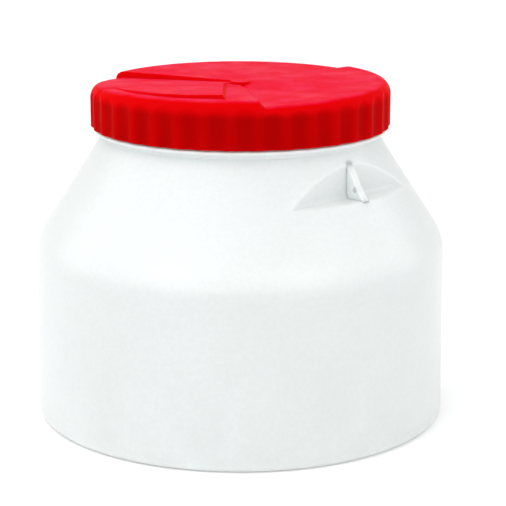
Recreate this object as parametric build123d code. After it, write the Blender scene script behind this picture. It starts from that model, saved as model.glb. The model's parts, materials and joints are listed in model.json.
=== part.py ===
from build123d import *
import math
import os

# Wide-neck disinfectant jar with a screw lid: jar_body, screw_lid and lid_gasket.
#
# Millimetres, +Z up.  The origin is the centre of the ring that the jar stands on.
# Azimuths are in degrees round the Z axis, counted from +X towards +Y; the jar's front is -Y (azimuth -90).

# ------------------------------------------------------------------ jar: driving dimensions
WALL = 2.4                      # moulded wall of the jar
BASE_RADIUS = 121.0             # side wall just above the base corner
SHOULDER_RADIUS = 120.0         # side wall carried up to the shoulder corner
BASE_CORNER = 4.2               # rounding between the base and the side wall
FOOT_INNER_RADIUS = 98.0        # the jar stands on the ring outside this radius
PUSH_UP = 3.5                   # height of the raised middle of the base
SHOULDER_Z = 105.7              # where the side wall and the cone would meet without rounding
SHOULDER_ROUND = 30.0
CONE_SLOPE = 32.7 / 50.1        # radius lost per millimetre of height

# neck
NECK_RADIUS = 80.6
NECK_BORE = 77.6
NECK_TOP = 187.6
NECK_BLEND = 5.0                # rounding where the cone turns into the neck
COLLAR_RADIUS = 85.2            # thin bead that stands out just under the lid
COLLAR_Z = (168.2, 170.4)

# sealing notches: a flat cut into the cone with a pierced fin left standing in its middle
NOTCH_AZIMUTHS = (-44.8, 135.2)
NOTCH_DISTANCE = 85.4           # from the jar's axis to the flat
NOTCH_LEDGE_Z = 140.0
NOTCH_SIZE = 60.0               # the notch's cutter reaches this far outwards and up
FIN_THICKNESS = 5.0
EYELET_RADIUS = 1.5
EYELET_DISTANCE = 91.2          # from the jar's axis to the eyelet
EYELET_Z = 145.5

# ------------------------------------------------------------------ thread: one start, right-handed
LEAD = 8.0
THREAD_TURNS = 1.25
THREAD_CREST = 1.8              # width of the tooth at its tip
THREAD_ROOT = 3.6               # and at its foot
THREAD_SINK = 0.6               # how far the foot is buried in the wall that carries it
NECK_THREAD_CREST_RADIUS = 82.9
NECK_THREAD_START_Z = 175.6
LID_THREAD_CREST_RADIUS = 81.2
LID_THREAD_START_AZIMUTH = 130.0    # the lid's tooth starts this far along the helix
LOAD_FLANK_GAP = 0.35           # axial gap between the flanks that pull the lid down
THREAD_RUN_OUT = 30.0           # degrees over which each end of the thread fades

# ------------------------------------------------------------------ lid: driving dimensions
LID_RADIUS = 87.2
LID_BOTTOM_Z = 171.2
LID_BORE = 83.5
LID_SEAT_Z = 189.6              # underside of the lid over the gasket
LID_POCKET_Z = 190.6            # underside of the lid inside the gasket ring
LID_POCKET_RADIUS = 72.0
LID_EDGE_ROUND = 6.5            # rounding between the lid's top and its skirt: its width in plan
LID_EDGE_DROP = 7.5             # and its height
LID_BLANK_TOP = 202.0
HUB_Z = 196.4                   # flat disc in the middle of the top
HUB_RADIUS = 6.4
LOCATING_RIB = (73.6, 75.4)     # ring on the underside that keeps the gasket central
LOCATING_RIB_Z = 186.2

LID_BOTTOM_ROUND = 0.8
BORE_TAPER = 2.5                # height of the cone that leads the skirt's bore in to the seat
POCKET_ROUND = 0.8

FLUTES = 36
FIRST_FLUTE = 1.7               # azimuth of one flute's middle
FLUTE_DEPTH = 1.4
FLUTE_RADIUS = 18.0

# The top is three ramps round the hub.  Each falls clockwise from a step down to the foot of the next step.
RAMP_STEPS = (-81.0, 151.5, 42.0)            # azimuth of the foot of the step up to the ramps a, b and c
RAMP_SPANS = (127.5, 109.5, 123.0)
STEP_WALLS = (2.1, 0.0, 5.5)                 # degrees over which each step rises; 0 is an upright wall
STEP_OVERLAP = 1.0                           # degrees that a ramp's cut runs past its own step
RAMP_COLUMNS = 20                            # rows of surface points along a ramp
WALL_COLUMNS = 3                             # and across a sloping step
RAMP_RADII = (5.9, 20.0, 40.0, 60.0, 72.0)   # radii of the surface points inside the rounded edge
EDGE_ANGLES = (0, 15, 30, 45, 60, 72)        # degrees round the rounded edge for the outer ones
CUT_HEIGHT = 20.0                            # the cut reaches this far above the surface

# raised grip pad on ramp a
PAD_RADIUS = 75.5
PAD_HEIGHT = 2.8                             # over the ledge round it, at the step
PAD_LAST_HEIGHT = 0.5                        # and where the ledge ends
PAD_END = 79.0                               # degrees along the ramp where the ledge ends
PAD_CORNER = 32.0                            # degrees along the ramp where its edge leaves the circle
PAD_SIDE_X = -9.0                            # its straight side, beside the channel to the front step
PAD_FRONT_Y = -73.0
PAD_BACK_Y = 10.0                            # its outline passes behind the hub here
PAD_OVERRUN = 2.0                            # degrees that its outline runs past its end

# gasket
GASKET_RADII = (75.8, 81.2)
GASKET_THICKNESS = LID_SEAT_Z - NECK_TOP


def at_azimuth(radius, azimuth, z):
    """A point at a radius and azimuth round the jar's axis."""
    angle = math.radians(azimuth)
    return Vector(radius * math.cos(angle), radius * math.sin(angle), z)


def cone_z(radius):
    """Height at which the conical shoulder has a radius."""
    return SHOULDER_Z + (SHOULDER_RADIUS - radius) / CONE_SLOPE


def turned(points, radii):
    """A solid of revolution about Z, from an outline that starts and ends on the axis."""
    outline = FilletPolyline(*[(r, 0, z) for r, z in points], radius=radii)
    closing = Line(outline @ 1, outline @ 0)
    return revolve(make_face([outline, closing]), Axis.Z)


# ------------------------------------------------------------------ thread
def thread(wall_radius, crest_radius, helix_z, start=0.0):
    """One helical tooth on a wall, thinned to nothing over the run-out at both ends.

    The helix passes helix_z at azimuth 0, and the tooth starts at azimuth start.
    """
    outward = 1 if crest_radius > wall_radius else -1
    foot_radius = wall_radius - outward * THREAD_SINK
    sweep_degrees = THREAD_TURNS * 360
    steps = int(sweep_degrees / 15)
    sections = []
    for step in range(steps + 1):
        along = step * sweep_degrees / steps
        azimuth = start + along
        fade = min(1.0, along / THREAD_RUN_OUT, (sweep_degrees - along) / THREAD_RUN_OUT)
        tip = wall_radius + (crest_radius - wall_radius) * max(fade, 0.02)
        z = helix_z + LEAD * azimuth / 360
        outline = [
            at_azimuth(foot_radius, azimuth, z - THREAD_ROOT / 2),
            at_azimuth(tip, azimuth, z - THREAD_CREST / 2),
            at_azimuth(tip, azimuth, z + THREAD_CREST / 2),
            at_azimuth(foot_radius, azimuth, z + THREAD_ROOT / 2),
        ]
        sections.append(Face(Wire.make_polygon(outline, close=True)))
    return Part(Solid.make_loft([face.outer_wire() for face in sections]).wrapped)


def tooth_half_width(radius, wall_radius, crest_radius):
    """Half the width of a tooth at a radius between its wall and its crest."""
    share = abs(radius - wall_radius) / abs(crest_radius - wall_radius)
    return (THREAD_ROOT + (THREAD_CREST - THREAD_ROOT) * share) / 2


def lid_helix_z():
    """The lid's tooth lies just below the neck's, with the load flanks apart by the stated gap."""
    middle = (NECK_THREAD_CREST_RADIUS + LID_THREAD_CREST_RADIUS) / 2
    neck_half = tooth_half_width(middle, NECK_RADIUS, NECK_THREAD_CREST_RADIUS)
    lid_half = tooth_half_width(middle, LID_BORE, LID_THREAD_CREST_RADIUS)
    return NECK_THREAD_START_Z - neck_half - LOAD_FLANK_GAP - lid_half


# ------------------------------------------------------------------ jar
def jar_outline(inset):
    """Outline of the jar and its corner radii, moved inwards by a wall thickness."""
    slant = inset * math.hypot(1, CONE_SLOPE)
    neck_radius = NECK_RADIUS if inset == 0 else NECK_BORE
    top = NECK_TOP if inset == 0 else NECK_TOP + 5
    points = [
        (0, PUSH_UP + inset),
        (FOOT_INNER_RADIUS - 10, PUSH_UP + inset),
        (FOOT_INNER_RADIUS, inset),
        (BASE_RADIUS - inset, inset),
        (SHOULDER_RADIUS - inset, SHOULDER_Z - slant / 2),
        (neck_radius, cone_z(neck_radius + slant)),
        (neck_radius, top),
        (0, top),
    ]
    radii = [6, 6, BASE_CORNER, SHOULDER_ROUND - inset, NECK_BLEND, 0.8 if inset == 0 else 0]
    return points, radii


def notch_block(azimuth, distance, ledge_z):
    """Everything outside a flat at a distance from the axis and above a ledge."""
    block = Box(NOTCH_SIZE, 4 * NOTCH_SIZE, NOTCH_SIZE, align=(Align.MIN, Align.CENTER, Align.MIN))
    return Rot(0, 0, azimuth) * Pos(distance, 0, ledge_z) * block


def fin_slab(azimuth):
    """A slab in the notch's middle plane, which becomes the fin."""
    slab = Box(NOTCH_SIZE, FIN_THICKNESS, NOTCH_SIZE + 2, align=(Align.MIN, Align.CENTER, Align.MIN))
    return Rot(0, 0, azimuth) * Pos(NOTCH_DISTANCE - 1, 0, NOTCH_LEDGE_Z - 1) * slab


def eyelet(azimuth):
    """The drilling through the fin."""
    drill = Rot(90, 0, 0) * Cylinder(EYELET_RADIUS, FIN_THICKNESS * 3)
    return Rot(0, 0, azimuth) * Pos(EYELET_DISTANCE, 0, EYELET_Z) * drill


def make_jar():
    """The blow-moulded jar: base, side wall, shoulder, neck with its bead and thread, and the two notches."""
    outside = turned(*jar_outline(0))
    cavity = turned(*jar_outline(WALL))
    for azimuth in NOTCH_AZIMUTHS:
        outside -= notch_block(azimuth, NOTCH_DISTANCE, NOTCH_LEDGE_Z) - fin_slab(azimuth)
        cavity -= notch_block(azimuth, NOTCH_DISTANCE - WALL, NOTCH_LEDGE_Z - WALL)
        outside -= eyelet(azimuth)
    collar_height = COLLAR_Z[1] - COLLAR_Z[0]
    collar = Pos(0, 0, sum(COLLAR_Z) / 2) * Cylinder(COLLAR_RADIUS, collar_height)
    collar = fillet(collar.edges(), collar_height * 0.4)
    tooth = thread(NECK_RADIUS, NECK_THREAD_CREST_RADIUS, NECK_THREAD_START_Z)
    return outside + collar + tooth - cavity


# ------------------------------------------------------------------ lid
def ramp_rim_z(ramp, share):
    """Height of the top at the rim, a share of the way down ramp a, b or c."""
    if ramp == 0:
        return 197.6 - 5.2 * share**2.5
    if ramp == 1:
        return 196.1 + 0.5 * math.sin(math.pi * share)
    return 198.1 - 3.8 * share**2


def ramp_hub_z(ramp, share):
    """Height of the top beside the hub.  Ramps a and c are sunk below the hub at the front step."""
    if ramp == 0:
        return 194.6 + 0.8 * share
    return 196.2 - (2.3 * share**2 if ramp == 2 else 0)


def pad_height(along):
    """Height of the grip pad over the ledge round it; it fades out along ramp a."""
    if along < PAD_END:
        return PAD_HEIGHT + (PAD_LAST_HEIGHT - PAD_HEIGHT) * along / PAD_END
    return PAD_LAST_HEIGHT * (RAMP_SPANS[0] - along) / (RAMP_SPANS[0] - PAD_END)


def ramp_z(ramp, radius, along, lift=0):
    """Height of a ramp's surface without the rounded edge, lifted by the pad's height if asked."""
    kept = min(max(along, 0), RAMP_SPANS[ramp])
    share = kept / RAMP_SPANS[ramp]
    flat_radius = LID_RADIUS - LID_EDGE_ROUND
    hub_z = ramp_hub_z(ramp, share)
    reach = min(radius, flat_radius) / flat_radius
    return hub_z + (ramp_rim_z(ramp, share) - hub_z) * reach + lift * pad_height(kept)


def step_z(ramp, radius, along):
    """Height of the sloping step that leads up to a ramp."""
    low = ramp_z((ramp + 2) % 3, radius, RAMP_SPANS[(ramp + 2) % 3])
    high = ramp_z(ramp, radius, STEP_WALLS[ramp], lift=1 if ramp == 0 else 0)
    return low + (high - low) * along / STEP_WALLS[ramp]


def edge_drop(radius):
    """How far the rounded edge has fallen at a radius."""
    over = (radius - LID_RADIUS + LID_EDGE_ROUND) / LID_EDGE_ROUND
    kept = min(max(over, 0), 0.98)
    return LID_EDGE_DROP * (1 - math.sqrt(1 - kept**2)) + max(radius - LID_RADIUS, 0)


def cut_above(surface_z, high_azimuth, start, end, columns):
    """The space above a surface between two angles, counted clockwise from an azimuth."""
    flat_radius = LID_RADIUS - LID_EDGE_ROUND
    edge_radii = [flat_radius + LID_EDGE_ROUND * math.sin(math.radians(angle)) for angle in EDGE_ANGLES]
    radii = [*RAMP_RADII, *edge_radii, LID_RADIUS + 1, LID_RADIUS + 3]
    grid = []
    for column in range(columns + 1):
        along = start + (end - start) * column / columns
        heights = [surface_z(radius, along) - edge_drop(radius) for radius in radii]
        grid.append([at_azimuth(radius, high_azimuth - along, z) for radius, z in zip(radii, heights)])
    surface = Face.make_surface_from_array_of_points(grid, tol=0.001)
    return Part(Solid.extrude(surface, Vector(0, 0, CUT_HEIGHT)).wrapped)


def ramp_cut(ramp, lift=0, end=None):
    """The space above a ramp's surface."""
    end = RAMP_SPANS[ramp] if end is None else end

    def surface_z(radius, along):
        return ramp_z(ramp, radius, along, lift)

    return cut_above(surface_z, RAMP_STEPS[ramp], -STEP_OVERLAP, end, RAMP_COLUMNS)


def step_cut(ramp):
    """The space above a sloping step, carried on until it is clear of the ramp."""

    def surface_z(radius, along):
        return step_z(ramp, radius, along)

    return cut_above(surface_z, RAMP_STEPS[ramp], 0, 1.5 * STEP_WALLS[ramp], WALL_COLUMNS)


def pad_footprint():
    """Plan outline of the grip pad, as a tall prism."""
    first = RAMP_STEPS[0] - PAD_CORNER
    last = RAMP_STEPS[0] - PAD_END - PAD_OVERRUN
    corner = at_azimuth(PAD_RADIUS, first, 0)
    far = at_azimuth(PAD_RADIUS, last, 0)
    middle = at_azimuth(PAD_RADIUS, (first + last) / 2, 0)
    inner = (PAD_SIDE_X, 0)
    front = (PAD_SIDE_X, PAD_FRONT_Y)
    edges = [ThreePointArc(corner, middle, far), Polyline(far, (0, PAD_BACK_Y), inner, front, corner)]
    return Pos(0, 0, HUB_Z - CUT_HEIGHT) * extrude(make_face(edges), 3 * CUT_HEIGHT)


def flute_cuts():
    """The finger flutes round the skirt.  They run out against the rounded edge of the top."""
    height = LID_BLANK_TOP - LID_BOTTOM_Z
    flute = Cylinder(FLUTE_RADIUS, height + 2)
    flute = Pos(LID_RADIUS - FLUTE_DEPTH + FLUTE_RADIUS, 0, LID_BOTTOM_Z + height / 2) * flute
    return [Rot(0, 0, FIRST_FLUTE + 360 * i / FLUTES) * flute for i in range(FLUTES)]


def make_lid():
    """The screw lid: skirt with flutes and thread, and the ramped top."""
    blank = turned(
        [(0, LID_BOTTOM_Z), (LID_RADIUS, LID_BOTTOM_Z), (LID_RADIUS, LID_BLANK_TOP), (0, LID_BLANK_TOP)],
        [LID_BOTTOM_ROUND, 0],
    )
    blank -= flute_cuts()
    blank -= Pos(0, 0, HUB_Z + CUT_HEIGHT / 2) * Cylinder(HUB_RADIUS, CUT_HEIGHT)
    blank -= ramp_cut(0, lift=1)
    blank -= ramp_cut(0, end=PAD_END) - pad_footprint()
    blank -= ramp_cut(1)
    blank -= ramp_cut(2)
    for ramp, degrees in enumerate(STEP_WALLS):
        if degrees > 0:
            blank -= step_cut(ramp)
    hollow = turned(
        [
            (0, LID_BOTTOM_Z - 1),
            (LID_BORE, LID_BOTTOM_Z - 1),
            (LID_BORE, LID_SEAT_Z - BORE_TAPER),
            (GASKET_RADII[1] + 0.3, LID_SEAT_Z),
            (LID_POCKET_RADIUS, LID_SEAT_Z),
            (LID_POCKET_RADIUS, LID_POCKET_Z),
            (0, LID_POCKET_Z),
        ],
        [0, 0, 0, 0, POCKET_ROUND],
    )
    rib_height = LID_SEAT_Z + 1 - LOCATING_RIB_Z
    rib = Cylinder(LOCATING_RIB[1], rib_height) - Cylinder(LOCATING_RIB[0], rib_height)
    rib = Pos(0, 0, LOCATING_RIB_Z + rib_height / 2) * rib
    tooth = thread(LID_BORE, LID_THREAD_CREST_RADIUS, lid_helix_z(), LID_THREAD_START_AZIMUTH)
    return blank - hollow + rib + tooth


# ------------------------------------------------------------------ gasket
def make_gasket():
    """Flat sealing ring between the neck's rim and the lid."""
    ring = Cylinder(GASKET_RADII[1], GASKET_THICKNESS) - Cylinder(GASKET_RADII[0], GASKET_THICKNESS)
    return Pos(0, 0, (NECK_TOP + LID_SEAT_Z) / 2) * ring


PARTS = {"jar_body": make_jar, "screw_lid": make_lid, "lid_gasket": make_gasket}

os.makedirs("parts", exist_ok=True)
for name, make in PARTS.items():
    export_step(make(), f"parts/{name}.step")
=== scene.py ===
import json
import math

import bpy
import numpy as np
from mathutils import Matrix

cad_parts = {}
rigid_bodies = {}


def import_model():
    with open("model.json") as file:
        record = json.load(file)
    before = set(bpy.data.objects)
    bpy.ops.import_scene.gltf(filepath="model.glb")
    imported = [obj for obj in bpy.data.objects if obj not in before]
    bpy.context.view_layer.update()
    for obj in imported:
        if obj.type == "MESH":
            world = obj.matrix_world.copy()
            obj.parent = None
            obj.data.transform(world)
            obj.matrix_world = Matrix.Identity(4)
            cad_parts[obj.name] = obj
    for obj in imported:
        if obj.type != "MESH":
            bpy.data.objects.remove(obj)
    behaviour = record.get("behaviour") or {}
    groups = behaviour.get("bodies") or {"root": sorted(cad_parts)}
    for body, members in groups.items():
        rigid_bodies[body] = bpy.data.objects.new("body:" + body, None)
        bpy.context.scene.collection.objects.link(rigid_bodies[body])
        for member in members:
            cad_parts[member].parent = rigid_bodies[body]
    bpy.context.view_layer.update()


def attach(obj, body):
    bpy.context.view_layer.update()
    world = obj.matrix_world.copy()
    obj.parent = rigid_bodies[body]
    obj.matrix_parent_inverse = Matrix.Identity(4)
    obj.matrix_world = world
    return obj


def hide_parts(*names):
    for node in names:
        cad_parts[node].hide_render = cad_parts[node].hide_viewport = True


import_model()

# Visible surfaces of the disinfectant jar: the jar, its screw lid and the gasket between them.
# Lengths are millimetres here and metres in the meshes and materials.
# Azimuths are degrees round +Z, counted from +X towards +Y; the jar's front is at -90.
MM = 0.001

# ---------------------------------------------------------------- jar
WALL = 2.4
PUSH_UP, PUSH_UP_WIDTH, PUSH_UP_ROUND = 3.5, 10.0, 6.0
FOOT_INNER_RADIUS = 98.0
BASE_RADIUS, BASE_CORNER = 121.0, 4.2
SHOULDER_RADIUS, SHOULDER_Z, SHOULDER_ROUND = 120.0, 105.7, 30.0
CONE_SLOPE = 32.7 / 50.1
NECK_RADIUS, NECK_BORE, NECK_TOP, NECK_BLEND = 80.6, 77.6, 187.6, 5.0
COLLAR_RADIUS, COLLAR_BOTTOM, COLLAR_TOP = 85.2, 168.2, 170.4
NOTCH_AZIMUTHS = (-44.8, 135.2)
NOTCH_DISTANCE, NOTCH_LEDGE_Z = 85.4, 140.0
NOTCH_SILL_ROUND, NOTCH_FLOOR_ROUND, NOTCH_TOP_ROUND = 2.6, 2.6, 4.0
NOTCH_SPREAD = 3.0              # how far its corners move up the cone beside the notch
NOTCH_SPREAD_DEGREES = 4.0      # over how many degrees past the notch they move
COLLAR_ROUND, COLLAR_FOOT_ROUND, RIM_ROUND = 1.0, 0.4, 0.8
SAG = 0.22                      # size of the waves in the blown wall
SAG_BOTTOM, SAG_BOTTOM_FADE = 6.0, 14.0
SAG_TOP, SAG_TOP_FADE, NECK_SAG_RADIUS = 163.0, 10.0, 84.0    # none inside this radius
FIN_THICKNESS, FIN_ROOT, FIN_FOOT_SINK, FIN_TOP_SINK = 5.0, 1.5, 0.4, 0.12
FIN_SHRINK, FIN_EDGE, FIN_BEVEL = 0.15, 0.9, 0.26
EYELET_RADIUS, EYELET_DISTANCE, EYELET_Z = 1.5, 91.2, 145.5
EYELET_EDGE, EYELET_BEVEL = 0.35, 0.12

# ---------------------------------------------------------------- thread
LEAD, THREAD_TURNS, THREAD_RUN_OUT = 8.0, 1.25, 30.0
THREAD_CREST, THREAD_ROOT, THREAD_SINK = 1.8, 3.6, 0.6
NECK_THREAD_CREST_RADIUS, NECK_THREAD_Z = 82.9, 175.6
LID_THREAD_CREST_RADIUS, LID_THREAD_START = 81.2, 130.0
LOAD_FLANK_GAP = 0.35
THREAD_ROWS = 226

# ---------------------------------------------------------------- lid
LID_RADIUS, LID_BOTTOM_Z, LID_BORE = 87.2, 171.2, 83.5
LID_SEAT_Z, LID_POCKET_Z, LID_POCKET_RADIUS = 189.6, 190.6, 72.0
LID_EDGE_ROUND, LID_EDGE_DROP = 6.5, 7.5
FLAT_RADIUS = LID_RADIUS - LID_EDGE_ROUND
LID_BOTTOM_ROUND, BORE_TAPER = 0.8, 2.5
HUB_Z, HUB_RADIUS = 196.4, 5.9
HUB_BLEND_INSIDE, HUB_BLEND = 0.35, 0.9
LOCATING_RIB, LOCATING_RIB_Z = (73.6, 75.4), 186.2
FLUTES, FIRST_FLUTE, FLUTE_DEPTH, FLUTE_RADIUS = 36, 1.7, 1.4, 18.0
FLUTE_SOFTNESS = 0.3            # rounding of the ridges between the flutes
RAMP_STEPS, RAMP_SPANS = (-81.0, 151.5, 42.0), (127.5, 109.5, 123.0)
STEP_WALLS = (2.1, 0.0, 5.5)    # degrees over which each step rises
STEP_LEAST = 0.9                # least width of a step's wall
STEP_BEFORE, STEP_AFTER = 20, 25    # degrees before and after a step where the two ramps are mixed
PAD_RADIUS, PAD_HEIGHT, PAD_LAST_HEIGHT, PAD_END, PAD_CORNER = 75.5, 2.8, 0.5, 79.0, 32.0
PAD_SIDE_X, PAD_FRONT_Y = -9.0, -73.0
PAD_SOFTNESS = 1.1              # width over which the pad's edge rounds from its foot to its top

# ---------------------------------------------------------------- gasket
GASKET_RADII, GASKET_ROUND = (75.8, 81.2), 0.45

# ---------------------------------------------------------------- mesh
LEAST_REACH = 0.2               # keeps the points of a straight corner apart
LID_AZIMUTH_STEP = 0.06         # azimuths of the lid's columns are multiples of this, in degrees


# ================================================================ mesh helpers
def mesh_object(name, vertices, faces):
    """A smooth-shaded object from vertices in millimetres."""
    mesh = bpy.data.meshes.new(name)
    mesh.from_pydata((np.asarray(vertices) * MM).tolist(), [], faces)
    mesh.validate()
    mesh.polygons.foreach_set("use_smooth", [True] * len(mesh.polygons))
    mesh.update()
    made = bpy.data.objects.new(name, mesh)
    bpy.context.scene.collection.objects.link(made)
    return made


def grid_faces(rows, columns, wrap_rows, wrap_columns):
    """Quads of a grid of rows by columns, closed on itself where asked."""
    faces = []
    for i in range(rows if wrap_rows else rows - 1):
        for j in range(columns if wrap_columns else columns - 1):
            a, b = i * columns, (i + 1) % rows * columns
            k = (j + 1) % columns
            faces.append((a + j, b + j, b + k, a + k))
    return faces


def pole_fans(first, last, rows, columns):
    """Triangles from a pole at each end of a grid whose rows run round the axis."""
    faces = []
    for i in range(rows):
        near, far = i * columns, (i + 1) % rows * columns
        faces.append((first, far, near))
        faces.append((last, near + columns - 1, far + columns - 1))
    return faces


def joined(name, objects):
    """One object made from several, under a new name."""
    for other in bpy.context.view_layer.objects:
        other.select_set(False)
    for one in objects:
        one.select_set(True)
    bpy.context.view_layer.objects.active = objects[0]
    bpy.ops.object.join()
    objects[0].name = name
    return objects[0]


def rounded_outlines(corners, radii, arc_steps, line_steps):
    """Outlines with every corner rounded by an arc, one for each azimuth.

    corners is (azimuths, corners, 2) and radii (azimuths, corners); a radius shrinks where its sides
    are too short.  arc_steps has a number for each inner corner and line_steps one for each side.
    """
    count = corners.shape[1]
    columns = []
    previous = corners[:, 0]
    for i in range(1, count):
        here = corners[:, i]
        if i < count - 1:
            back, ahead = corners[:, i - 1] - here, corners[:, i + 1] - here
            back_length = np.maximum(np.linalg.norm(back, axis=1, keepdims=True), 1e-9)
            ahead_length = np.maximum(np.linalg.norm(ahead, axis=1, keepdims=True), 1e-9)
            back, ahead = back / back_length, ahead / ahead_length
            half = np.arccos(np.clip(np.sum(back * ahead, axis=1, keepdims=True), -1, 1)) / 2
            reach = np.maximum(radii[:, i : i + 1] / np.maximum(np.tan(half), 1e-6), LEAST_REACH)
            reach = np.minimum(reach, 0.48 * np.minimum(back_length, ahead_length))
            start, end, weight = here + back * reach, here + ahead * reach, np.sin(half)
        else:
            start = here
        for s in np.linspace(0, 1, line_steps[i - 1] + 1)[:-1]:
            columns.append(previous + (start - previous) * s)
        if i < count - 1:
            for s in np.linspace(0, 1, arc_steps[i - 1] + 1)[:-1]:
                b0, b1, b2 = (1 - s) ** 2, 2 * s * (1 - s) * weight, s**2
                columns.append((b0 * start + b1 * here + b2 * end) / (b0 + b1 + b2))
            previous = end
    columns.append(corners[:, -1])
    return np.stack(columns, axis=1)


def turned(outlines, azimuths):
    """Vertices of outlines (azimuths, points, 2) placed at their azimuths."""
    angle = np.radians(azimuths)[:, None]
    r, z = outlines[..., 0], outlines[..., 1]
    return np.stack([r * np.cos(angle), r * np.sin(angle), z], axis=-1)


def closed_turning(name, outlines, azimuths):
    """A closed turned body whose outlines start and end on the axis."""
    points = turned(outlines[:, 1:-1], azimuths)
    rows, columns = points.shape[:2]
    poles = [[0, 0, outlines[0, 0, 1]], [0, 0, outlines[0, -1, 1]]]
    vertices = np.vstack([points.reshape(-1, 3), poles])
    faces = grid_faces(rows, columns, True, False)
    faces += pole_fans(rows * columns, rows * columns + 1, rows, columns)
    return mesh_object(name, vertices, faces)


def smooth_step(t):
    """A soft change from 0 to 1."""
    t = np.clip(t, 0, 1)
    return t * t * (3 - 2 * t)


def wrapped(degrees):
    """The same azimuth between -180 and 180."""
    return (np.asarray(degrees) + 180) % 360 - 180


# ================================================================ thread
def tooth_half_width(radius, wall_radius, crest_radius):
    """Half the width of a tooth at a radius between its wall and its crest."""
    share = abs(radius - wall_radius) / abs(crest_radius - wall_radius)
    return (THREAD_ROOT + (THREAD_CREST - THREAD_ROOT) * share) / 2


def lid_thread_z():
    """The lid's tooth lies just below the neck's."""
    middle = (NECK_THREAD_CREST_RADIUS + LID_THREAD_CREST_RADIUS) / 2
    return (
        NECK_THREAD_Z
        - tooth_half_width(middle, NECK_RADIUS, NECK_THREAD_CREST_RADIUS)
        - LOAD_FLANK_GAP
        - tooth_half_width(middle, LID_BORE, LID_THREAD_CREST_RADIUS)
    )


def thread(name, wall_radius, crest_radius, helix_z, start):
    """One helical tooth with softened crest corners, fading out at both ends."""
    outward = 1 if crest_radius > wall_radius else -1
    foot = wall_radius - outward * THREAD_SINK
    sweep = THREAD_TURNS * 360
    # share of the way out, share of the width to one side, and share of the root's extra width
    section = [(0, -0.5, 1), (0.9, -0.5, 0.22), (1, -0.38, 0), (1, 0.38, 0), (0.9, 0.5, 0.22), (0, 0.5, 1)]
    rows = []
    for along in np.linspace(0, sweep, THREAD_ROWS):
        azimuth = math.radians(start + along)
        fade = min(1.0, along / THREAD_RUN_OUT, (sweep - along) / THREAD_RUN_OUT)
        tip = wall_radius + (crest_radius - wall_radius) * max(smooth_step(fade), 0.02)
        middle = helix_z + LEAD * (start + along) / 360
        for out, side, root_share in section:
            radius = foot + (tip - foot) * out
            width = THREAD_CREST + (THREAD_ROOT - THREAD_CREST) * root_share
            rows.append((radius * math.cos(azimuth), radius * math.sin(azimuth), middle + side * width))
    count = len(section)
    faces = grid_faces(THREAD_ROWS, count, False, True)
    faces.append(tuple(range(count)))
    faces.append(tuple(range(len(rows) - 1, len(rows) - 1 - count, -1)))
    return mesh_object(name, rows, faces)


# ================================================================ jar
def cone_z(radius):
    """Height at which the conical shoulder has a radius."""
    return SHOULDER_Z + (SHOULDER_RADIUS - radius) / CONE_SLOPE


def wall_side(azimuths, inset):
    """Outline of the jar from the middle of the base to the neck, moved inwards by a wall thickness.

    Returns its corners, their radii, and the steps along each arc and each side.
    """
    slant = inset * math.hypot(1, CONE_SLOPE)
    ledge_z = NOTCH_LEDGE_Z - inset
    ledge_radius = SHOULDER_RADIUS - (ledge_z - SHOULDER_Z) * CONE_SLOPE - slant
    flat = np.full(len(azimuths), ledge_radius)
    for notch in NOTCH_AZIMUTHS:
        off = np.radians(wrapped(azimuths - notch))
        # only this side of the jar can meet the notch's flat back
        near = np.abs(off) < math.radians(60)
        reach = (NOTCH_DISTANCE - inset) / np.cos(np.where(near, off, 0))
        flat = np.where(near, np.minimum(flat, reach), flat)
    neck = NECK_RADIUS if inset == 0 else NECK_BORE

    def at(r, z):
        return np.stack([np.broadcast_to(r, len(azimuths)), np.broadcast_to(z, len(azimuths))], axis=-1)

    half_notch = math.degrees(math.acos((NOTCH_DISTANCE - inset) / ledge_radius))
    beyond = np.min([np.abs(wrapped(azimuths - notch)) - half_notch for notch in NOTCH_AZIMUTHS], axis=0)
    spread = NOTCH_SPREAD * smooth_step(beyond / NOTCH_SPREAD_DEGREES)
    on_cone = beyond > 0
    ledge_end_z = np.where(on_cone, ledge_z + spread / CONE_SLOPE, ledge_z)
    corners = [
        at(0.0, PUSH_UP + inset),
        at(FOOT_INNER_RADIUS - PUSH_UP_WIDTH, PUSH_UP + inset),
        at(FOOT_INNER_RADIUS, inset),
        at(BASE_RADIUS - inset, inset),
        at(SHOULDER_RADIUS - inset, SHOULDER_Z - slant / 2),
        at(ledge_radius, ledge_z),
        at(np.where(on_cone, flat - spread, flat), ledge_end_z),
        at(flat - 2 * spread, cone_z(flat - 2 * spread + slant)),
        at(neck, cone_z(neck + slant)),
    ]
    radii = [
        0, PUSH_UP_ROUND, PUSH_UP_ROUND, BASE_CORNER, SHOULDER_ROUND - inset,
        NOTCH_SILL_ROUND, NOTCH_FLOOR_ROUND, NOTCH_TOP_ROUND, NECK_BLEND,
    ]
    arcs = [4, 4, 8, 16, 4, 4, 4, 4]
    lines = [6, 2, 4, 14, 6, 5, 8, 7]
    return corners, radii, arcs, lines


def uneven(points, azimuths):
    """How far the blown wall sags inwards, in millimetres, at outline points: broad, shallow waves."""
    angle, r, z = np.radians(azimuths)[:, None], points[..., 0], points[..., 1]
    waves = (
        0.30 * np.sin(3 * angle + 0.7 + z / 46)
        + 0.25 * np.sin(5 * angle + 2.1 - z / 29)
        + 0.22 * np.sin(9 * angle + 4.0 + z / 17)
        + 0.14 * np.sin(14 * angle + 1.2 - z / 23)
    )
    above_foot = smooth_step((z - SAG_BOTTOM) / SAG_BOTTOM_FADE)
    below_neck = smooth_step((SAG_TOP - z) / SAG_TOP_FADE)
    region = above_foot * below_neck * (r > NECK_SAG_RADIUS)
    return SAG * (0.9 + waves) * region


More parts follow.
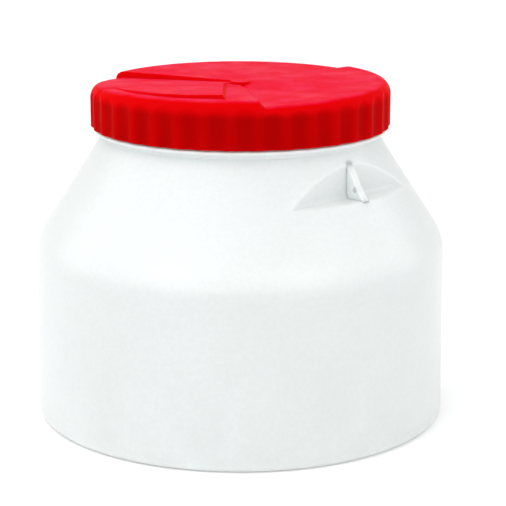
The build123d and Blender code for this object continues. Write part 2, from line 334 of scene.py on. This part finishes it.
def make_jar():
    """The hollow jar with its collar, thread, notches and fins."""
    steps = np.arange(-180, 180, 1.0)
    dense = [notch + off for notch in NOTCH_AZIMUTHS for off in np.arange(-31, 31.1, 0.5)]
    azimuths = np.unique(np.round(wrapped(np.concatenate([steps, dense])), 4))
    outer, outer_radii, outer_arcs, outer_lines = wall_side(azimuths, 0)
    inner, inner_radii, inner_arcs, inner_lines = wall_side(azimuths, WALL)

    def ring(r, z):
        return np.broadcast_to([r, z], (len(azimuths), 2))

    neck = [
        ring(NECK_RADIUS, COLLAR_BOTTOM),
        ring(COLLAR_RADIUS, COLLAR_BOTTOM),
        ring(COLLAR_RADIUS, COLLAR_TOP),
        ring(NECK_RADIUS, COLLAR_TOP),
        ring(NECK_RADIUS, NECK_TOP),
        ring(NECK_BORE, NECK_TOP),
    ]
    corners = np.stack(outer + neck + inner[::-1], axis=1)
    neck_radii = [COLLAR_FOOT_ROUND, COLLAR_ROUND, COLLAR_ROUND, COLLAR_FOOT_ROUND, RIM_ROUND, RIM_ROUND]
    radii = outer_radii + neck_radii + inner_radii[::-1]
    arcs = outer_arcs + [2, 5, 5, 2, 3, 3] + [max(n // 2, 1) for n in inner_arcs[::-1]]
    lines = outer_lines + [1, 1, 1, 1, 3, 1, 3] + [max(n // 2, 1) for n in inner_lines[::-1]]
    radii = np.broadcast_to(radii, corners.shape[:2])
    outlines = rounded_outlines(corners, radii, arcs, lines)
    outer_count = sum(outer_arcs) + sum(outer_lines)
    outlines[:, :outer_count, 0] -= uneven(outlines[:, :outer_count], azimuths)
    shell = closed_turning("jar_shell", outlines, azimuths)
    tooth = thread("neck_thread", NECK_RADIUS, NECK_THREAD_CREST_RADIUS, NECK_THREAD_Z, 0.0)
    return joined("jar_visual", [shell, tooth] + [make_fin(azimuth) for azimuth in NOTCH_AZIMUTHS])


def make_fin(azimuth):
    """The pierced fin left standing in a notch, as a closed band round its eyelet.

    Its crest lies just under the cone, so that its ends are buried in the shoulder.
    """
    foot_r, foot_z = NOTCH_DISTANCE - FIN_ROOT, NOTCH_LEDGE_Z - FIN_ROOT
    crest_r = SHOULDER_RADIUS - FIN_FOOT_SINK - (foot_z - SHOULDER_Z) * CONE_SLOPE
    triangle = [(foot_r, foot_z), (crest_r, foot_z), (foot_r, cone_z(foot_r + FIN_TOP_SINK))]
    centre = np.array([EYELET_DISTANCE, EYELET_Z])
    corner_angles = [math.atan2(z - EYELET_Z, r - EYELET_DISTANCE) for r, z in triangle]
    angles = sorted(list(np.linspace(-math.pi, math.pi, 64, endpoint=False)) + corner_angles)
    half = FIN_THICKNESS / 2
    vertices = []
    for angle in angles:
        ray = np.array([math.cos(angle), math.sin(angle)])
        distances = [ray_to_side(centre, ray, triangle[i], triangle[(i + 1) % 3]) for i in range(3)]
        reach = min(distance for distance in distances if distance > 0) - FIN_SHRINK
        right_half = [
            (EYELET_RADIUS, half - EYELET_EDGE),
            (EYELET_RADIUS + EYELET_BEVEL, half - EYELET_BEVEL),
            (EYELET_RADIUS + EYELET_EDGE, half),
            (reach - FIN_EDGE, half),
            (reach - FIN_BEVEL, half - FIN_BEVEL),
            (reach, half - FIN_EDGE),
        ]
        left_half = [(distance, -side) for distance, side in reversed(right_half)]
        band = left_half[-1:] + right_half + left_half[:-1]
        for distance, side in band:
            r, z = centre + ray * distance
            vertices.append((r, side, z))
    turn = math.radians(azimuth)
    cos, sin = math.cos(turn), math.sin(turn)
    placed = [(x * cos - y * sin, x * sin + y * cos, z) for x, y, z in vertices]
    fin = mesh_object("fin", placed, grid_faces(len(angles), len(band), True, True))
    fin.data.polygons.foreach_set("use_smooth", [False] * len(fin.data.polygons))
    return fin


def ray_to_side(origin, ray, start, end):
    """Distance along a ray to a side of a polygon, or infinity."""
    side = np.subtract(end, start)
    across = ray[0] * side[1] - ray[1] * side[0]
    if abs(across) < 1e-9:
        return math.inf
    gap = np.subtract(start, origin)
    t = (gap[0] * side[1] - gap[1] * side[0]) / across
    s = (gap[0] * ray[1] - gap[1] * ray[0]) / across
    return t if -1e-6 <= s <= 1 + 1e-6 else math.inf


# ================================================================ lid
def ramp_z(ramp, along, reach):
    """Height of a ramp at degrees along it and a share of the way from the hub to the rim."""
    share = np.clip(along / RAMP_SPANS[ramp], 0, 1)
    # heights at the rim and at the hub, as they change along the ramp
    if ramp == 0:
        rim, hub = 197.6 - 5.2 * share**2.5, 194.6 + 0.8 * share
    elif ramp == 1:
        rim, hub = 196.1 + 0.5 * np.sin(math.pi * share), 196.2
    else:
        rim, hub = 198.1 - 3.8 * share**2, 196.2 - 2.3 * share**2
    return hub + (rim - hub) * reach


def pad_lift(azimuth, radius, along):
    """Height of the grip pad over the ledge round it; past the ledge it fades along ramp a."""
    over_ledge = PAD_HEIGHT + (PAD_LAST_HEIGHT - PAD_HEIGHT) * along / PAD_END
    past_ledge = PAD_LAST_HEIGHT * (RAMP_SPANS[0] - along) / (RAMP_SPANS[0] - PAD_END)
    height = np.where(along < PAD_END, over_ledge, np.maximum(past_ledge, 0))
    angle = np.radians(azimuth)
    x, y = radius * np.cos(angle), radius * np.sin(angle)
    corner = math.radians(RAMP_STEPS[0] - PAD_CORNER)
    corner_x, corner_y = PAD_RADIUS * math.cos(corner), PAD_RADIUS * math.sin(corner)
    edge = np.subtract((corner_x, corner_y), (PAD_SIDE_X, PAD_FRONT_Y))
    edge = edge / np.linalg.norm(edge)
    behind_front = edge[1] * (x - PAD_SIDE_X) - edge[0] * (y - PAD_FRONT_Y)
    inside = np.minimum(np.minimum(PAD_RADIUS - radius, PAD_SIDE_X - x), behind_front)
    standing = smooth_step(inside / PAD_SOFTNESS + 0.5)
    return height * np.maximum(standing, smooth_step((along - PAD_END + 1.5) / 3))


def step_share(distance, width):
    """How far a step has risen at a distance past its foot: a straight wall with rounded corners."""
    t, corner = distance / width, 0.25
    foot = (t + corner) ** 2 / (4 * corner)
    top = 1 - (1 + corner - t) ** 2 / (4 * corner)
    rise = np.where(t < corner, foot, np.where(t > 1 - corner, top, t))
    return np.where(t < -corner, 0, np.where(t > 1 + corner, 1, rise))


def lid_top_z(azimuth, radius):
    """Height of the lid's top: the three ramps, the steps between them, the grip pad and the hub."""
    reach = np.minimum(radius, FLAT_RADIUS) / FLAT_RADIUS
    azimuth = np.broadcast_to(azimuth, np.broadcast(azimuth, radius).shape)
    z = np.zeros(azimuth.shape)
    for ramp, step in enumerate(RAMP_STEPS):
        along = (step - azimuth + STEP_BEFORE) % 360 - STEP_BEFORE
        lift = pad_lift(azimuth, radius, np.maximum(along, 0)) if ramp == 0 else 0
        high = ramp_z(ramp, np.maximum(along, 0), reach) + lift
        below = (ramp + 2) % 3
        low = ramp_z(below, RAMP_SPANS[below] + np.minimum(along, 0), reach)
        width = np.maximum(radius * math.radians(STEP_WALLS[ramp]), STEP_LEAST)
        share = step_share(radius * np.sin(np.radians(along)), width)
        mine = (along > -STEP_BEFORE) & (along < RAMP_SPANS[ramp] - STEP_BEFORE)
        z = np.where(mine, np.where(along < STEP_AFTER, low + (high - low) * share, high), z)
    off_hub = smooth_step((radius - HUB_RADIUS + HUB_BLEND_INSIDE) / HUB_BLEND)
    return HUB_Z + (z - HUB_Z) * off_hub


def flute_limit(azimuths):
    """Largest radius that the finger flutes leave at an azimuth."""
    pitch = 360 / FLUTES
    off = np.radians((azimuths - FIRST_FLUTE + pitch / 2) % pitch - pitch / 2)
    centre = LID_RADIUS - FLUTE_DEPTH + FLUTE_RADIUS
    inside = np.maximum(FLUTE_RADIUS**2 - (centre * np.sin(off)) ** 2, 0)
    return centre * np.cos(off) - np.sqrt(inside)


def smaller(a, b, softness):
    """The smaller of two values, with the change-over rounded."""
    h = np.clip(0.5 + 0.5 * (b - a) / softness, 0, 1)
    return b + (a - b) * h - softness * h * (1 - h)


def make_lid():
    """The screw lid: ramped top, rounded edge, fluted skirt, hollow underside and thread."""
    pitch = 360 / FLUTES
    steps = [FIRST_FLUTE + np.arange(0, 360, pitch / 16)]
    for step, wall in zip(RAMP_STEPS, STEP_WALLS):
        steps.append(step + np.concatenate([np.arange(-3, 1.5, 0.12), -wall - np.arange(-1, 1.5, 0.12)]))
        steps.append(step - np.linspace(0, wall, 8))
    steps.append(RAMP_STEPS[0] - PAD_END + np.arange(-2, 2.1, 0.25))
    azimuths = np.round(wrapped(np.concatenate(steps)) / LID_AZIMUTH_STEP) * LID_AZIMUTH_STEP
    azimuths = np.unique(azimuths)[1:]      # without the first, -180 and 180 are never both there
    column = azimuths[:, None]
    inner_rings = np.concatenate([
        [1.5, 3, 4.4, 5.2, 5.5, 5.7, 5.9, 6.1, 6.3, 6.6, 7.2, 8.5], np.arange(10, 72, 1.6),
        np.arange(72, 77.5, 0.25), [78.5, 79.6, FLAT_RADIUS],
    ])
    top_r = np.broadcast_to(inner_rings, (len(azimuths), len(inner_rings)))
    top_z = lid_top_z(column, top_r)
    bend = np.radians(np.arange(6, 91, 6))[None, :]
    edge_r = FLAT_RADIUS + LID_EDGE_ROUND * np.sin(bend) + 0 * column
    edge_z = top_z[:, -1:] - LID_EDGE_DROP * (1 - np.cos(bend))
    side = np.array([0.04, 0.1, 0.2, 0.35, 0.5, 0.65, 0.8, 0.9, 0.96, 1])[None, :]
    side_z = edge_z[:, -1:] + (LID_BOTTOM_Z + LID_BOTTOM_ROUND - edge_z[:, -1:]) * side
    foot = np.radians([22, 45, 68, 90])
    foot_z = LID_BOTTOM_Z + LID_BOTTOM_ROUND - LID_BOTTOM_ROUND * np.sin(foot) + 0 * column
    foot_r = LID_RADIUS - LID_BOTTOM_ROUND + LID_BOTTOM_ROUND * np.cos(foot) + 0 * column
    r = np.concatenate([top_r, edge_r, LID_RADIUS + 0 * side_z, foot_r], axis=1)
    z = np.concatenate([top_z, edge_z, side_z, foot_z], axis=1)
    fluted = smaller(r, flute_limit(column), FLUTE_SOFTNESS)
    r = np.where(r > FLAT_RADIUS - 1, fluted, r)
    under = [
        (LID_BORE + 0.5, LID_BOTTOM_Z), (LID_BORE + 0.15, LID_BOTTOM_Z + 0.15),
        (LID_BORE, LID_BOTTOM_Z + 0.5), (LID_BORE, 180), (LID_BORE, LID_SEAT_Z - BORE_TAPER),
        (GASKET_RADII[1] + 0.3, LID_SEAT_Z - 0.1), (GASKET_RADII[1], LID_SEAT_Z),
        (LOCATING_RIB[1] + 0.2, LID_SEAT_Z), (LOCATING_RIB[1], LID_SEAT_Z - 0.2),
        (LOCATING_RIB[1], LOCATING_RIB_Z + 0.3), (LOCATING_RIB[1] - 0.3, LOCATING_RIB_Z),
        (LOCATING_RIB[0] + 0.3, LOCATING_RIB_Z), (LOCATING_RIB[0], LOCATING_RIB_Z + 0.3),
        (LOCATING_RIB[0], LID_SEAT_Z - 0.2), (LOCATING_RIB[0] - 0.2, LID_SEAT_Z),
        (LID_POCKET_RADIUS + 0.2, LID_SEAT_Z), (LID_POCKET_RADIUS, LID_SEAT_Z + 0.2),
        (LID_POCKET_RADIUS, LID_POCKET_Z - 0.7), (LID_POCKET_RADIUS - 0.2, LID_POCKET_Z - 0.2),
        (LID_POCKET_RADIUS - 0.7, LID_POCKET_Z), (40, LID_POCKET_Z), (10, LID_POCKET_Z), (3, LID_POCKET_Z),
    ]
    under = np.broadcast_to(np.array(under, dtype=float), (len(azimuths), len(under), 2))
    ends = np.zeros((len(azimuths), 1, 2))
    outside = np.stack([r, z], axis=-1)
    outlines = np.concatenate([ends + [0, HUB_Z], outside, under, ends + [0, LID_POCKET_Z]], axis=1)
    shell = closed_turning("lid_shell", outlines[:, ::-1], azimuths)
    tooth = thread("lid_thread", LID_BORE, LID_THREAD_CREST_RADIUS, lid_thread_z(), LID_THREAD_START)
    return joined("lid_visual", [shell, tooth])


# ================================================================ gasket
def make_gasket():
    """The sealing ring, with soft corners."""
    azimuths = np.arange(-180, 180, 2.0)
    inner, outer = GASKET_RADII
    low, high, soft = NECK_TOP, LID_SEAT_Z, GASKET_ROUND
    section = [
        (inner + soft, low), (outer - soft, low), (outer - 0.12, low + 0.12), (outer, low + soft),
        (outer, high - soft), (outer - 0.12, high - 0.12), (outer - soft, high), (inner + soft, high),
        (inner + 0.12, high - 0.12), (inner, high - soft), (inner, low + soft), (inner + 0.12, low + 0.12),
    ]
    outlines = np.broadcast_to(np.array(section), (len(azimuths), len(section), 2))
    points = turned(outlines, azimuths)
    faces = grid_faces(len(azimuths), len(section), True, True)
    return mesh_object("gasket_visual", points.reshape(-1, 3), faces)


# ================================================================ materials
class Nodes:
    """A short way to wire a material."""

    def __init__(self, name):
        self.material = bpy.data.materials.new(name)
        self.material.use_nodes = True
        self.tree = self.material.node_tree
        self.shader = self.tree.nodes["Principled BSDF"]
        self.place = self.node("ShaderNodeTexCoord").outputs["Object"]

    def node(self, kind, **settings):
        made = self.tree.nodes.new(kind)
        for key, value in settings.items():
            setattr(made, key, value)
        return made

    def feed(self, socket, value):
        if isinstance(value, bpy.types.NodeSocket):
            self.tree.links.new(value, socket)
        else:
            socket.default_value = value

    def noise(self, scale, detail=3.0, roughness=0.55, stretch=None):
        made = self.node("ShaderNodeTexNoise")
        where = self.place
        if stretch is not None:
            mapping = self.node("ShaderNodeMapping")
            self.feed(mapping.inputs["Vector"], where)
            mapping.inputs["Scale"].default_value = stretch
            where = mapping.outputs["Vector"]
        self.feed(made.inputs["Vector"], where)
        made.inputs["Scale"].default_value = scale
        made.inputs["Detail"].default_value = detail
        made.inputs["Roughness"].default_value = roughness
        return made.outputs["Fac"]

    def spread(self, value, low, high, to_low=0.0, to_high=1.0):
        """Maps low..high to to_low..to_high, softly."""
        made = self.node("ShaderNodeMapRange", clamp=True, interpolation_type="SMOOTHSTEP")
        self.feed(made.inputs["Value"], value)
        for name, number in (("From Min", low), ("From Max", high), ("To Min", to_low), ("To Max", to_high)):
            made.inputs[name].default_value = number
        return made.outputs["Result"]

    def maths(self, operation, a, b):
        made = self.node("ShaderNodeMath", operation=operation)
        self.feed(made.inputs[0], a)
        self.feed(made.inputs[1], b)
        return made.outputs["Value"]

    def mix(self, share, a, b):
        made = self.node("ShaderNodeMix", data_type="RGBA")
        self.feed(made.inputs["Factor"], share)
        self.feed(made.inputs["A"], a)
        self.feed(made.inputs["B"], b)
        return made.outputs["Result"]

    def height(self):
        split = self.node("ShaderNodeSeparateXYZ")
        self.feed(split.inputs["Vector"], self.place)
        return split.outputs["Z"]

    def radius(self):
        """Distance from the jar's axis."""
        across = self.node("ShaderNodeVectorMath", operation="MULTIPLY")
        self.feed(across.inputs[0], self.place)
        across.inputs[1].default_value = (1, 1, 0)
        length = self.node("ShaderNodeVectorMath", operation="LENGTH")
        self.feed(length.inputs[0], across.outputs["Vector"])
        return length.outputs["Value"]

    def up(self):
        """How far the surface faces upwards."""
        split = self.node("ShaderNodeSeparateXYZ")
        self.feed(split.inputs["Vector"], self.node("ShaderNodeNewGeometry").outputs["Normal"])
        return split.outputs["Z"]

    def bump(self, layers):
        """Bumps laid on each other, each (height, distance in metres, strength)."""
        normal = None
        for value, distance, strength in layers:
            made = self.node("ShaderNodeBump")
            made.inputs["Distance"].default_value = distance
            made.inputs["Strength"].default_value = strength
            self.feed(made.inputs["Height"], value)
            if normal is not None:
                self.feed(made.inputs["Normal"], normal)
            normal = made.outputs["Normal"]
        return normal


def scuffs(n, scale, low, high):
    """Short rubbing marks in two directions."""
    one = n.noise(scale, 4, 0.6, (1.0, 1.0, 0.12))
    other = n.noise(scale * 1.4, 4, 0.6, (0.2, 0.2, 1.0))
    return n.spread(n.maths("MAXIMUM", one, other), low, high)


def jar_material():
    """White plastic with fine grain, rubbing marks, dirt low down, and painted shade darkening the lower
    wall.
    """
    n = Nodes("jar_plastic")
    white, warm, grey = (0.780, 0.820, 0.812, 1), (0.760, 0.800, 0.786, 1), (0.62, 0.64, 0.63, 1)
    cloud = n.noise(9, 4)
    colour = n.mix(n.spread(cloud, 0.4, 0.65), white, warm)
    colour = n.mix(n.spread(n.noise(420, 3), 0.35, 0.65, 0.0, 0.13), colour, grey)
    rubbed = scuffs(n, 70, 0.66, 0.8)
    low_down = n.spread(n.height(), 0.0, 0.012, 1.0, 0.0)
    dirt = n.maths("MULTIPLY", low_down, n.spread(n.noise(55, 5), 0.4, 0.75))
    # painted shade: the lower wall is darkened towards the bottom, broken up by noise
    lower_wall = n.spread(n.height(), 0.0, 0.075, 1.0, 0.0)
    lower_wall_shade = n.maths("MULTIPLY", lower_wall, n.spread(n.noise(36, 5), 0.25, 0.75))
    colour = n.mix(n.maths("MULTIPLY", rubbed, 0.12), colour, grey)
    colour = n.mix(n.maths("MULTIPLY", lower_wall_shade, 0.22), colour, grey)
    colour = n.mix(n.maths("MULTIPLY", dirt, 0.35), colour, grey)
    n.feed(n.shader.inputs["Base Color"], colour)
    rough = n.spread(n.noise(24, 5), 0.3, 0.7, 0.285, 0.35)
    rough = n.maths("ADD", rough, n.maths("MULTIPLY", rubbed, 0.18))
    n.feed(n.shader.inputs["Roughness"], rough)
    n.shader.inputs["IOR"].default_value = 1.5
    n.shader.inputs["Subsurface Weight"].default_value = 0.5
    n.shader.inputs["Subsurface Radius"].default_value = (1.0, 0.95, 0.9)
    n.shader.inputs["Subsurface Scale"].default_value = 0.006
    layers = [
        (n.noise(1300, 2), 0.00006, 0.5),
        (n.noise(160, 3), 0.0002, 0.25),
        (n.noise(30, 2), 0.0008, 0.12),
    ]
    n.feed(n.shader.inputs["Normal"], n.bump(layers))
    return n.material


def lid_material():
    """Red plastic: painted shade in the flutes, painted light brightening the upper part and upward faces,
    and a painted pinkish sheen with chalky blotches on the top.
    """
    n = Nodes("lid_plastic")
    deep, bright, worn = (0.46, 0.0002, 0.0004, 1), (0.54, 0.0004, 0.0008, 1), (0.64, 0.008, 0.016, 1)
    # the darkest red is painted shade for the flute hollows
    flute_shade = (0.36, 0.0002, 0.0004, 1)
    # edge and top are painted light: lighter reds for the upper part and upward faces, top with a painted
    # pinkish sheen; chalk is a painted pinkish sheen with chalky blotches
    edge, top, chalky_sheen = (0.68, 0.0004, 0.0016, 1), (0.70, 0.003, 0.022, 1), (0.76, 0.034, 0.100, 1)
    colour = n.mix(n.spread(n.noise(14, 4), 0.35, 0.65), deep, bright)
    # painted shade: darkens the side-facing hollows of the flutes
    in_flute = n.spread(n.radius(), 0.0857, 0.0871, 1.0, 0.0)
    hollow = n.maths("MULTIPLY", in_flute, n.spread(n.up(), 0.0, 0.3, 1.0, 0.0))
    colour = n.mix(n.maths("MULTIPLY", hollow, n.spread(n.noise(30, 4), 0.2, 0.8, 0.3, 0.8)), colour, flute_shade)
    # painted light: the upper part and the upward faces get the brighter edge red, the top faces a pinker
    # red as painted sheen
    colour = n.mix(n.spread(n.height(), 0.1875, 0.1935), colour, edge)
    colour = n.mix(n.spread(n.up(), 0.05, 0.70), colour, edge)
    colour = n.mix(n.spread(n.up(), 0.82, 0.97), colour, top)
    rubbed = scuffs(n, 90, 0.64, 0.78)
    colour = n.mix(n.maths("MULTIPLY", rubbed, 0.22), colour, worn)
    # painted sheen: pinkish blotches on the upward faces, partly chalky bloom
    dust_and_sheen = n.maths("MULTIPLY", n.spread(n.up(), 0.8, 1.0), n.spread(n.noise(75, 5), 0.42, 0.68))
    colour = n.mix(n.maths("MULTIPLY", dust_and_sheen, 0.38), colour, chalky_sheen)
    n.feed(n.shader.inputs["Base Color"], colour)
    rough = n.spread(n.noise(30, 5), 0.3, 0.7, 0.38, 0.52)
    rough = n.maths("ADD", rough, n.maths("MULTIPLY", rubbed, 0.2))
    n.feed(n.shader.inputs["Roughness"], rough)
    n.shader.inputs["IOR"].default_value = 1.12
    n.shader.inputs["Specular IOR Level"].default_value = 0.06
    n.shader.inputs["Subsurface Weight"].default_value = 0.6
    n.shader.inputs["Subsurface Radius"].default_value = (1.0, 0.12, 0.12)
    n.shader.inputs["Subsurface Scale"].default_value = 0.003
    layers = [(n.noise(1500, 2), 0.00005, 0.5), (n.noise(220, 3), 0.0002, 0.25)]
    n.feed(n.shader.inputs["Normal"], n.bump(layers))
    return n.material


def gasket_material():
    """Matt grey rubber."""
    n = Nodes("gasket_rubber")
    colour = n.mix(n.spread(n.noise(120, 4), 0.35, 0.65), (0.58, 0.58, 0.56, 1), (0.68, 0.68, 0.66, 1))
    n.feed(n.shader.inputs["Base Color"], colour)
    n.feed(n.shader.inputs["Roughness"], n.spread(n.noise(300, 4), 0.3, 0.7, 0.7, 0.9))
    n.feed(n.shader.inputs["Normal"], n.bump([(n.noise(1800, 3), 0.0001, 0.6)]))
    return n.material


def floor_material():
    """A pale, matt studio floor that gives off a little light of its own."""
    n = Nodes("pale_floor")
    colour = n.mix(n.spread(n.noise(3, 3), 0.3, 0.7), (0.90, 0.90, 0.90, 1), (0.92, 0.92, 0.92, 1))
    n.feed(n.shader.inputs["Base Color"], colour)
    n.feed(n.shader.inputs["Roughness"], n.spread(n.noise(8, 3), 0.3, 0.7, 0.7, 0.8))
    n.shader.inputs["Specular IOR Level"].default_value = 0.1
    n.shader.inputs["Emission Color"].default_value = (1, 1, 1, 1)
    n.shader.inputs["Emission Strength"].default_value = 0.12
    return n.material


def dressed(piece, material, body, node):
    """Gives a visible piece its material, body and material slot, and hides the CAD node it stands in for.
    """
    piece.data.materials.clear()
    piece.data.materials.append(material)
    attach(piece, body)
    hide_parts(node)


dressed(make_jar(), jar_material(), "jar", "jar_body")
dressed(make_lid(), lid_material(), "lid", "screw_lid")
dressed(make_gasket(), gasket_material(), "seal", "lid_gasket")

# ================================================================ floor, light and camera
bpy.ops.mesh.primitive_plane_add(size=30, location=(0, 0, 0))
floor = bpy.context.object
floor.name = "floor"
floor.data.materials.append(floor_material())

world = bpy.data.worlds.new("studio")
world.use_nodes = True
world.node_tree.nodes["Background"].inputs["Color"].default_value = (1.0, 1.0, 1.0, 1)
world.node_tree.nodes["Background"].inputs["Strength"].default_value = 0.95
bpy.context.scene.world = world


def soft_light(name, place, target, width, height, power, glossy_only=False):
    """A rectangular area light turned towards a target; glossy_only ones show just as reflections."""
    data = bpy.data.lights.new(name, "AREA")
    data.shape = "RECTANGLE"
    data.size, data.size_y = width, height
    data.energy = power
    light = bpy.data.objects.new(name, data)
    light.location = place
    toward = np.subtract(target, place)
    flat = math.hypot(toward[0], toward[1])
    light.rotation_euler = (math.atan2(flat, -toward[2]), 0, math.atan2(-toward[0], toward[1]))
    light.visible_diffuse = not glossy_only
    bpy.context.scene.collection.objects.link(light)


soft_light("overhead", (-0.5, -0.3, 1.9), (0, 0, 0.1), 1.6, 1.6, 12)
soft_light("front_panel", (0, -2.2, 1.25), (0, 0, 0.1), 5.0, 2.6, 90, glossy_only=True)
soft_light("left_panel", (-2.3, -0.6, 1.25), (0, 0, 0.1), 4.4, 2.6, 52, glossy_only=True)
soft_light("right_panel", (2.3, -0.6, 1.25), (0, 0, 0.1), 4.4, 2.6, 52, glossy_only=True)

CAMERA_ELEVATION, CAMERA_DISTANCE, CAMERA_TARGET_Z = 14.29, 1.050, 0.090
elevation = math.radians(CAMERA_ELEVATION)
camera_data = bpy.data.cameras.new("camera")
camera_data.lens = 125.36
camera_data.sensor_width = 36.0
camera_data.shift_x = 0.0249
camera_data.shift_y = 0.0103
camera_data.clip_end = 50
camera = bpy.data.objects.new("camera", camera_data)
camera.location = (
    0,
    -CAMERA_DISTANCE * math.cos(elevation),
    CAMERA_TARGET_Z + CAMERA_DISTANCE * math.sin(elevation),
)
camera.rotation_euler = (math.pi / 2 - elevation, 0, 0)
bpy.context.scene.collection.objects.link(camera)
bpy.context.scene.camera = camera
bpy.context.scene.view_settings.view_transform = "Standard"
